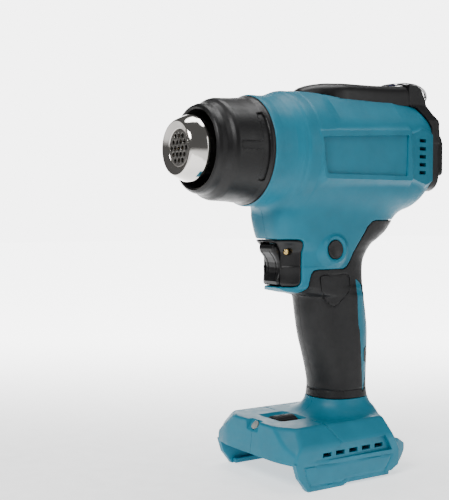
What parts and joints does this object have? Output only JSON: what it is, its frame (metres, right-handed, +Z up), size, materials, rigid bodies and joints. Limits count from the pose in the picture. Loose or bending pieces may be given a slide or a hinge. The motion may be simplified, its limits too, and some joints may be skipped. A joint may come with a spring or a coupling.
{
  "type": "heat gun",
  "caption": "Cordless pistol heat gun: steel hot-air nozzle, black heat sleeve, teal housing, rubber grip, display on top and a railed battery foot.",
  "frame": {"origin": "on the ground under the middle of the tool, in the plane where the two housing halves meet", "axes": "+X is the way the hot air leaves along the barrel, +Z is up and +Y is the side with the lock button"},
  "size_m": [0.1788, 0.076, 0.2266],
  "materials": {
    "teal_shell": "fine grained moulded plastic",
    "grip_rubber": "soft satin overmould",
    "black_plastic": "satin moulded plastic",
    "trigger_plastic": "semi gloss moulded plastic",
    "sleeve_plastic": "matt heat resistant plastic",
    "filter_plastic": "moulded mesh",
    "gasket": "thin seal",
    "tube_steel": "polished stainless steel",
    "plate_steel": "pressed stainless steel",
    "wire_steel": "bright drawn wire",
    "screw_steel": "zinc plated",
    "inner_steel": "plain steel",
    "heater_wire": "resistance wire",
    "mica": "mica sheet, described here as a matt board",
    "ceramic": "ceramic, described here as a matt solid",
    "brass_parts": "bare brass",
    "fan_plastic": "moulded plastic",
    "circuit_board": "solder mask on glass fibre",
    "display_body": "display module",
    "display_glass": "tinted clear window",
    "switch_plastic": "moulded plastic",
    "heat_sink_metal": "extruded",
    "lead_insulation": "silicone insulation",
    "lamp_lens": "clear domed lens",
    "dial_rubber": "ribbed dark moulding"
  },
  "bodies": {
    "tool": {"left_housing": "teal_shell", "right_housing": "teal_shell", "left_grip": "grip_rubber", "right_grip": "grip_rubber", "top_cap": "black_plastic", "rear_cover": "black_plastic", "inlet_cap": "black_plastic", "inlet_filter": "filter_plastic", "heat_sleeve": "sleeve_plastic", "sleeve_gasket": "gasket", "nozzle_tube": "tube_steel", "outlet_plate": "plate_steel", "mica_liner": "mica", "mica_former": "mica", "heating_coils": "heater_wire", "heater_base": "ceramic", "thermocouple": "brass_parts", "air_duct": "fan_plastic", "motor_can": "inner_steel", "motor_holder": "fan_plastic", "display_board": "circuit_board", "display_module": "display_body", "display_window": "display_glass", "trigger_bezel": "black_plastic", "trigger_pin": "brass_parts", "trigger_spring": "inner_steel", "trigger_switch": "switch_plastic", "lock_spring": "inner_steel", "lock_switch": "switch_plastic", "control_board": "circuit_board", "heat_sink": "heat_sink_metal", "power_leads": "lead_insulation", "terminal_block": "switch_plastic", "terminal_blades": "brass_parts", "foot_lamp_lens": "lamp_lens", "foot_lamp_board": "circuit_board", "dial_axle": "inner_steel", "dial_carrier": "switch_plastic", "housing_screws": "screw_steel", "cover_screws": "screw_steel"},
    "fan": {"fan_impeller": "fan_plastic", "motor_shaft": "inner_steel"},
    "trigger": {"trigger": "trigger_plastic"},
    "lock_button": {"lock_button": "trigger_plastic"},
    "up_key": {"up_key": "trigger_plastic"},
    "down_key": {"down_key": "trigger_plastic"},
    "dial": {"dial_wheel": "dial_rubber"},
    "hanging_ring": {"hanging_ring": "wire_steel"}
  },
  "joints": [
    {"name": "fan_spin", "type": "hinge", "parent": "tool", "child": "fan", "pos_m": [-0.02, 0, 0.182], "axis": [1, 0, 0], "continuous": true},
    {"name": "trigger_pull", "type": "hinge", "parent": "tool", "child": "trigger", "pos_m": [0.0246, 0, 0.1267], "axis": [0, 1, 0], "range_deg": [0, 8], "stiffness_Nm_per_rad": 0.3, "springref_deg": -11.46, "deforming": ["trigger_spring"]},
    {"name": "lock_press", "type": "slide", "parent": "tool", "child": "lock_button", "axis": [0, -1, 0], "range_m": [0, 0.003], "stiffness_N_per_m": 400, "springref_m": -0.004, "deforming": ["lock_spring"]},
    {"name": "up_key_press", "type": "slide", "parent": "tool", "child": "up_key", "axis": [0, 0, -1], "range_m": [0, 0.0008], "stiffness_N_per_m": 800, "springref_m": -0.0008},
    {"name": "down_key_press", "type": "slide", "parent": "tool", "child": "down_key", "axis": [0, 0, -1], "range_m": [0, 0.0008], "stiffness_N_per_m": 800, "springref_m": -0.0008},
    {"name": "dial_turn", "type": "hinge", "parent": "tool", "child": "dial", "pos_m": [0.0192, 0, 0.0252], "axis": [1, 0, 0], "range_deg": [-135, 135]},
    {"name": "ring_swing", "type": "hinge", "parent": "tool", "child": "hanging_ring", "pos_m": [-0.077, 0, 0.212], "axis": [0, 1, 0], "range_deg": [-100, 0]}
  ]
}
